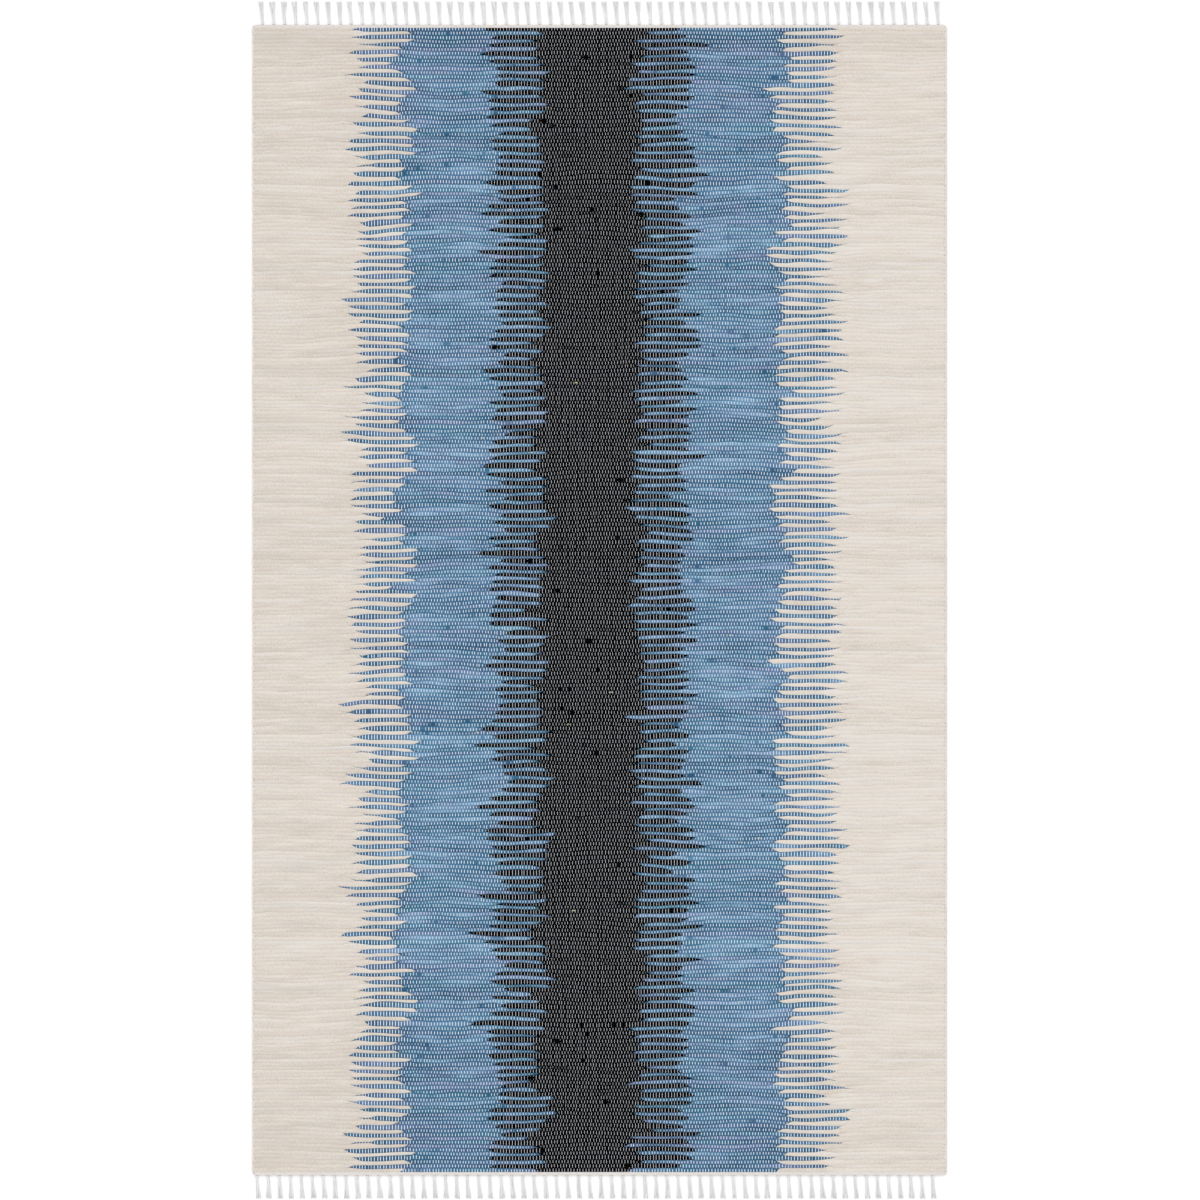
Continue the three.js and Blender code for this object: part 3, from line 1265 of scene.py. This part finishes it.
@dataclass
class Selvedges:
    """The loops in which each weft turns back, two picks to a loop, along both long edges."""

    plan: PickPlan
    seed: int = 51
    girth: float = 3.2 * MM
    height: float = 2.3 * MM
    lift: float = 0.6 * MM
    notch: float = 0.42
    overlap: float = 0.8 * MM
    flare: Span = (0.94, 1.04)
    edge_mm: Span = (0.1, 0.5)
    drawn_in: float = 0.6
    lowest: float = 0.6
    tip: float = 0.04
    stations: tuple[float, ...] = (-0.95, -0.75, -0.4, 0.0, 0.4, 0.75, 0.95)
    tones: Span = (0.3, 0.9)
    cast_scatter: float = 0.4
    sides: int = 6
    cord_from_edge: float = 6.8 * MM
    cord_width: float = 1.4 * MM
    cord_top: float = 5.6 * MM
    cord_dip: float = 0.5 * MM
    cord_wander: float = 0.12 * MM
    cord_tip: float = 2 * MM
    cord_shoulder: float = 0.9
    cord_depth: float = 3.0
    cord_tone: float = 0.6
    cord_tone_scatter: float = 0.2

    def build(self) -> list[bpy.types.Object]:
        """Builds and dresses the pieces.

        Returns:
            The loops of the west edge and of the east edge, and the doubled warps inside them.
        """
        rng = np.random.default_rng(self.seed)
        pieces = []
        for name, side, first in (("selvedge_west", -1, 0), ("selvedge_east", 1, 1)):
            store = YarnStore()
            for pick in range(-first, self.plan.picks, 2):
                self._loop(store, rng, side, pick)
            piece = store.piece(name)
            SELVEDGE_FINISH.dress(piece)
            pieces.append(piece)
        store = YarnStore()
        for side in (-1, 1):
            self._cord(store, rng, side)
        cords = store.piece("selvedge_cords")
        HEADING_FINISH.dress(cords)
        return [*pieces, cords]

    def _cord(self, store: YarnStore, rng: np.random.Generator, side: int) -> None:
        """Adds the doubled outermost warp, which runs up and down over the picks.

        Args:
            store: Where it goes.
            rng: Where its random draws come from.
            side: 1 for the east edge and -1 for the west one.
        """
        plan = self.plan
        x = side * (plan.half_width - self.cord_from_edge)
        lines = np.array([np.interp(x, plan.x, line) for line in plan.lines])
        y = np.empty(2 * plan.picks - 1)
        y[0::2] = (lines[1:] + lines[:-1]) / 2
        y[1::2] = lines[1:-1]
        top = self.cord_top - self.cord_dip * (np.arange(len(y)) % 2)
        aside = x + rng.normal(0, self.cord_wander, len(y))
        half = self.cord_width / 2
        shoulder, depth = self.cord_shoulder * half, self.cord_depth * half
        corners = ((-half, shoulder), (0, 0), (half, shoulder), (0, depth))
        rings = np.stack([points_of(aside + shift, y, top - drop) for shift, drop in corners], axis=1)
        tips = np.array(
            [[x, y[0] - self.cord_tip, top[0] - half], [x, y[-1] + self.cord_tip, top[-1] - half]]
        )
        places = np.concatenate([[0.0], (y / plan.half_length + 1) / 2, [1.0]])
        row = ((side + 1.1) / 4, (side + 1.9) / 4)
        tone = np.clip(rng.normal(self.cord_tone, self.cord_tone_scatter, len(places)), 0, 1)
        store.add(rings, tips, row, places, tone=tone, shade=0.0)

    def _loop(self, store: YarnStore, rng: np.random.Generator, side: int, pick: int) -> None:
        """Adds the turn that joins a pick to the next one, full in its middle.

        Args:
            store: Where it goes.
            rng: Where its random draws come from.
            side: 1 for the east edge and -1 for the west one.
            pick: The lower pick.
        """
        plan = self.plan
        edge = side * plan.half_width
        low = np.interp(edge, plan.x, plan.lines[max(pick, 0)])
        high = np.interp(edge, plan.x, plan.lines[min(pick + 2, plan.picks)])
        share = np.array(self.stations)
        half = (high - low) / 2 + self.overlap * (0 < pick < plan.picks - 2)
        y = (low + high) / 2 + half * share
        full = 1 - self.notch * share**2
        girth = self.girth * full * rng.uniform(*self.flare)
        outer = plan.half_width - rng.uniform(*self.edge_mm) * MM
        outer = outer - self.drawn_in * self.girth * (1 - full)
        turns = round_angles(self.sides)
        height = self.height * (self.lowest + (1 - self.lowest) * full)
        middle = side * (outer - girth)
        level = self.lift + self.height
        across = middle[:, None] + girth[:, None] * np.cos(turns)
        rings = points_of(across, y[:, None], level - height[:, None] * np.sin(turns))
        tip = self.tip * half
        tips = np.array([[middle[0], y[0] - tip, level], [middle[-1], y[-1] + tip, level]])
        row = ((pick + 1) / (plan.picks + 2), (pick + 2.8) / (plan.picks + 2))
        tone, cast = rng.uniform(*self.tones), rng.normal(0, self.cast_scatter)
        store.add(rings, tips, row, tone=tone, cast=cast)


@dataclass
class Heading:
    """The narrow plain strip of cotton cords at one end, which locks the last weft."""

    end: End
    plan: PickPlan
    seed: int = 61
    cords: int = 4
    depth: float = 7.9 * MM
    height: float = 4.6 * MM
    half: float = 747.5 * MM
    corner: float = 7 * MM
    girth: float = 1.5 * MM
    outer_edge: float = 1241.2 * MM
    corner_stations: tuple[float, ...] = (0.3, 0.55, 0.8, 0.95)
    corner_share: float = 0.96
    corner_bend: float = 0.7
    sections: int = 50
    bulge: float = 0.57
    line_mm: Span = (-0.1, 0.0)
    tip: float = 0.5 * MM
    tone: float = 0.6
    tone_scatter: float = 0.15
    warps: int = 463
    warps_from_edge: float = 6 * MM
    warp_half_width: float = 0.8 * MM
    warp_scatter: Span = (0.85, 1.15)
    warp_lift: float = 0.25 * MM
    warp_lift_mm: Span = (0, 0.25)
    warp_depth: float = 1.5 * MM
    warp_flat: float = 0.3
    warp_reach: float = 0.62
    warp_end: float = 0.7
    warp_tone: float = 0.8
    warp_tone_scatter: float = 0.2
    sides: int = 6

    def build(self) -> bpy.types.Object:
        """Builds and dresses the piece.

        Returns:
            The heading, with the warp's crossings over its cords.
        """
        rng = np.random.default_rng(self.seed + self.end.value)
        name = f"heading_{self.end.name.lower()}"
        store = YarnStore()
        pitch = (self.depth - 2 * self.girth) / (self.cords - 1)
        for cord in range(self.cords):
            self._cord(store, rng, cord, pitch)
        for cord in range(self.cords):
            self._crossings(store, rng, cord, pitch)
        piece = store.piece(name)
        HEADING_FINISH.dress(piece)
        return piece

    def _middle(self, cord: int, pitch: float, x: np.ndarray) -> np.ndarray:
        """The line of a cord, which bends inward at the rounded corners."""
        share = np.clip((np.abs(x) - self.half + self.corner) / self.corner, 0, 1)
        bend = self.corner * (1 - np.sqrt(1 - (self.corner_share * share) ** 2)) * (cord + 1) / self.cords
        return self.outer_edge - self.depth + self.girth + cord * pitch - self.corner_bend * bend

    def _cord(self, store: YarnStore, rng: np.random.Generator, cord: int, pitch: float) -> None:
        """Adds one cord across the rug."""
        corner = self.corner
        middle = np.linspace(-self.half + corner, self.half - corner, self.sections)
        ends = np.array(self.corner_stations) * corner
        west = -self.half + corner - ends[::-1]
        x = np.concatenate([west, middle, -west[::-1]])
        y = self._middle(cord, pitch, x) + rng.uniform(*self.line_mm, len(x)) * MM
        y = self.end.value * y
        level = self.height / 2
        turns = round_angles(self.sides)
        across = y[:, None] - self.girth * np.cos(turns)
        rings = points_of(x[:, None], across, level - self.bulge * self.height * np.sin(turns))
        tips = np.array([[x[0] - self.tip, y[0], level], [x[-1] + self.tip, y[-1], level]])
        places = np.concatenate([[x[0]], x, [x[-1]]]) / (2 * self.half) + 0.5
        tone = np.clip(rng.normal(self.tone, self.tone_scatter, len(x) + 2), 0, 1)
        row = (cord / 6, (cord + MAP_SHARE) / 6)
        store.add(rings, tips, row, places, tone=tone, shade=0.0)

    def _crossings(self, store: YarnStore, rng: np.random.Generator, cord: int, pitch: float) -> None:
        """Adds the short stretches in which every second warp yarn shows over a cord."""
        edge = self.plan.half_width - self.warps_from_edge
        homes = np.linspace(-edge, edge, self.warps)[cord % 2 :: 2]
        lines = self.end.value * self._middle(cord, pitch, homes)
        flat, reach, low = self.warp_flat * pitch, self.warp_reach * pitch, self.warp_end * self.height
        # The cords take the lower two thirds of the map, and the crossings the rest.
        step = 0.0005 * np.arange(4)
        row = (0.68 + 0.08 * cord, 0.74 + 0.08 * cord)
        for number, (x, centre) in enumerate(zip(homes, lines)):
            width = self.warp_half_width * rng.uniform(*self.warp_scatter)
            top = self.height + self.warp_lift + rng.uniform(*self.warp_lift_mm) * MM
            rings = np.array(
                [
                    [[x - width, y, top], [x + width, y, top], [x, y, top - self.warp_depth]]
                    for y in (centre - flat, centre + flat)
                ]
            )
            tips = np.array([[x, centre - reach, low], [x, centre + reach, low]])
            tone = np.clip(rng.normal(self.warp_tone, self.warp_tone_scatter), 0, 1)
            store.add(rings, tips, row, number / len(homes) + step, tone=tone, shade=0.0)


@dataclass
class Tassels:
    """One end's row of tassels: warp ends knotted at the heading and combed out in two locks."""

    end: End
    first_from_left: float
    tip_lean: float
    seed: int = 71
    count: int = 62
    pitch: float = 23.9 * MM
    rug_width: float = 1500 * MM
    root: float = 1242 * MM
    length: float = 49.2 * MM
    length_scatter_mm: float = 0.9
    place_scatter: float = 0.3 * MM
    knot_sides: int = 8
    knot_level: float = 2.7 * MM
    knot_start: float = -0.8 * MM
    knot_end: float = 4.6 * MM
    knot_along_mm: tuple[float, ...] = (-0.4, 0.6, 2.2, 3.8)
    knot_girths_mm: tuple[float, ...] = (2.2, 3.3, 3.1, 1.9)
    knot_heights_mm: tuple[float, ...] = (1.8, 2.5, 2.4, 1.7)
    knot_scatter: Span = (0.92, 1.08)
    knot_tone: float = 0.45
    yarn_radius: float = 0.95 * MM
    yarn_scatter: Span = (0.85, 1.1)
    yarn_tone: float = 0.5
    yarn_tone_scatter: float = 0.2
    yarn_start: float = 1 * MM
    yarn_tip: float = 0.8 * MM
    stations: tuple[float, ...] = (0.02, 0.12, 0.28, 0.45, 0.62, 0.8, 1.0)
    taper: tuple[float, ...] = (0.9, 0.95, 1, 1, 1, 0.95, 0.8)
    gathered: float = 0.26
    fan_span: Span = (0.05, 1.15)
    bend_mm: float = 0.5
    bend_turns: float = 1.5
    start_level: float = 2.6 * MM
    sink: float = 1.5 * MM
    pile: float = 1.3 * MM
    pile_fade: float = 0.7
    squareness: float = 1.25
    offsets_mm: tuple[float, ...] = (-5.2, -4.3, -3.2, -1.2, 1.4, 3.1, 4.3, 5.2)

    def build(self) -> bpy.types.Object:
        """Builds and dresses the piece.

        Returns:
            The row of tassels.
        """
        rng = np.random.default_rng(self.seed + self.end.value)
        store = YarnStore()
        for number in range(self.count):
            middle = -self.rug_width / 2 + self.first_from_left + number * self.pitch
            middle += rng.normal(0, self.place_scatter)
            self._knot(store, rng, middle, number)
            for strand, offset in enumerate(self.offsets_mm):
                self._yarn(store, rng, middle, number, strand, offset * MM)
        piece = store.piece(f"tassels_{self.end.name.lower()}")
        FRINGE_FINISH.dress(piece)
        return piece

    def _knot(self, store: YarnStore, rng: np.random.Generator, middle: float, number: int) -> None:
        """Adds the small tight knot against the heading."""
        along = np.array(self.knot_along_mm) * MM
        girth = np.array(self.knot_girths_mm) * MM * rng.uniform(*self.knot_scatter)
        height = np.array(self.knot_heights_mm) * MM
        turns = round_angles(self.knot_sides)
        across = middle + girth[:, None] * np.cos(turns)
        up = self.knot_level - height[:, None] * np.sin(turns)
        rings = points_of(across, (self.root + along)[:, None], up)
        tips = np.array(
            [
                [middle, self.root + self.knot_start, self.knot_level],
                [middle, self.root + self.knot_end, self.knot_level],
            ]
        )
        # The knot takes the first tenth of the tassel's strip of the map, and the yarns the rest.
        row = ((number + 0.02) / self.count, (number + 0.1) / self.count)
        self._add(store, rings, tips, row, self.knot_tone)

    def _yarn(
        self,
        store: YarnStore,
        rng: np.random.Generator,
        middle: float,
        number: int,
        strand: int,
        offset: float,
    ) -> None:
        """Adds one yarn from the knot to its free end.

        Args:
            store: Where it goes.
            rng: Where its random draws come from.
            middle: The tassel's middle line at the heading.
            number: Which tassel it belongs to.
            strand: Which yarn of the tassel it is.
            offset: How far aside its free end lies.
        """
        share = np.array(self.stations)
        length = self.length - abs(rng.normal(0, self.length_scatter_mm)) * MM
        fan = self.gathered + (1 - self.gathered) * soft_step(share, *self.fan_span)
        bend = rng.normal(0, self.bend_mm, 3) * MM
        x = middle + offset * fan + self.tip_lean * share
        x += bend[0] * np.sin(math.pi * share * self.bend_turns)
        x += bend[1] * share
        y = self.root + length * share
        level = self.start_level - self.sink * soft_step(share, 0.0, 0.5)
        pile = (strand % 2) * self.pile * (1 - self.pile_fade * share)
        z = np.maximum(level + pile, self.yarn_radius)
        radius = self.yarn_radius * np.array(self.taper) * rng.uniform(*self.yarn_scatter)
        radius = radius[:, None] * self.squareness
        turns = round_angles(4) + math.pi / 4
        across = x[:, None] + radius * np.cos(turns)
        rings = points_of(across, y[:, None], z[:, None] - radius * np.sin(turns))
        tips = np.array(
            [[x[0], y[0] - self.yarn_start, z[0]], [x[-1], y[-1] + self.yarn_tip, z[-1]]]
        )
        low = number + 0.12 + 0.86 * strand / len(self.offsets_mm)
        row = (low / self.count, (low + 0.09) / self.count)
        tone = np.clip(rng.normal(self.yarn_tone, self.yarn_tone_scatter), 0, 1)
        self._add(store, rings, tips, row, tone)

    def _add(
        self, store: YarnStore, rings: np.ndarray, tips: np.ndarray, row: Span, tone: float
    ) -> None:
        """Adds a tube that points to +Y, turned over for the south end.

        Args:
            store: Where it goes.
            rings: Its sections.
            tips: Its two end points.
            row: Its strip of the map.
            tone: Its tone.
        """
        if self.end is End.SOUTH:
            mirrored = np.array([1, -1, 1])
            rings, tips = rings[::-1] * mirrored, tips[::-1] * mirrored
        store.add(rings, tips, row, tone=tone, shade=0.0)


@dataclass
class Studio:
    """The floor, the light and the camera."""

    pixels: int = 1200
    pixel_size: float = 2.158 * MM
    aside: float = 1.2 * MM
    lens: float = 85.0
    sensor: float = 36.0
    floor_size: float = 60.0
    far_limit: float = 100.0
    sky_strength: float = 0.95
    sun_energy: float = 0.64
    sun_spread: float = math.radians(25)
    sun_turn: tuple[float, float, float] = (math.radians(-42), math.radians(-14), 0.0)

    def build(self) -> None:
        """Sets up the studio."""
        self._floor()
        self._light()
        self._camera()

    def _floor(self) -> None:
        """A wide pale floor."""
        bpy.ops.object.select_all(action="DESELECT")
        bpy.ops.mesh.primitive_plane_add(size=self.floor_size)
        floor = bpy.context.object
        floor.name = "floor"
        FloorFinish().dress(floor)

    def _light(self) -> None:
        """Even light from all round, and a soft sun that picks out the relief."""
        world = bpy.data.worlds.new("studio")
        world.use_nodes = True
        background = world.node_tree.nodes["Background"]
        background.inputs["Color"].default_value = (1.0, 1.0, 1.0, 1.0)
        background.inputs["Strength"].default_value = self.sky_strength
        bpy.context.scene.world = world
        sun = bpy.data.lights.new("key", "SUN")
        sun.energy = self.sun_energy
        sun.angle = self.sun_spread
        lamp = bpy.data.objects.new("key", sun)
        lamp.rotation_euler = self.sun_turn
        bpy.context.scene.collection.objects.link(lamp)
        bpy.context.scene.view_settings.view_transform = "Standard"

    def _camera(self) -> None:
        """A long lens straight above the rug."""
        camera = bpy.data.cameras.new("camera")
        camera.lens = self.lens
        camera.sensor_width = self.sensor
        camera.clip_end = self.far_limit
        holder = bpy.data.objects.new("camera", camera)
        width = self.pixels * self.pixel_size
        holder.location = (self.aside, 0.0, width * self.lens / self.sensor)
        bpy.context.scene.collection.objects.link(holder)
        bpy.context.scene.camera = holder


def main() -> None:
    """Builds the rug and its studio, and works out the flat size of its cloth."""
    logging.basicConfig(level=logging.INFO, format="%(message)s")
    Studio().build()
    low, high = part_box("cloth")
    plan = PickPlan(half_width=high.x, half_length=high.y)
    relief = Relief(thickness=high.z)
    cloth = ClothGround(plan, relief)
    ground = cloth.build()
    yarns = list(Wefts(plan, relief).build().values())
    yarns += Warps(plan, relief).build()
    yarns += Selvedges(plan).build()
    yarns.append(StrayThreads(plan, relief).build())
    ends = {
        "fringe_north": [
            Heading(End.NORTH, plan).build(),
            Tassels(End.NORTH, first_from_left=23.5 * MM, tip_lean=-3.9 * MM).build(),
        ],
        "fringe_south": [
            Heading(End.SOUTH, plan).build(),
            Tassels(End.SOUTH, first_from_left=10.6 * MM, tip_lean=3.3 * MM).build(),
        ],
    }
    fringes = [piece for group in ends.values() for piece in group]
    total = 0
    for piece in [ground, *yarns, *fringes]:
        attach(piece, BODY)
        piece.data.calc_loop_triangles()
        count = len(piece.data.loop_triangles)
        total += count
        log.info("%s: %d triangles", piece.name, count)
    log.info("all pieces: %d triangles", total)
    for piece in [ground, *yarns]:
        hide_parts("cloth")
    for node, group in ends.items():
        for piece in group:
            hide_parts(node)
    flat = (2 * cloth.half_width, 2 * plan.half_length)


if __name__ == "__main__":
    main()
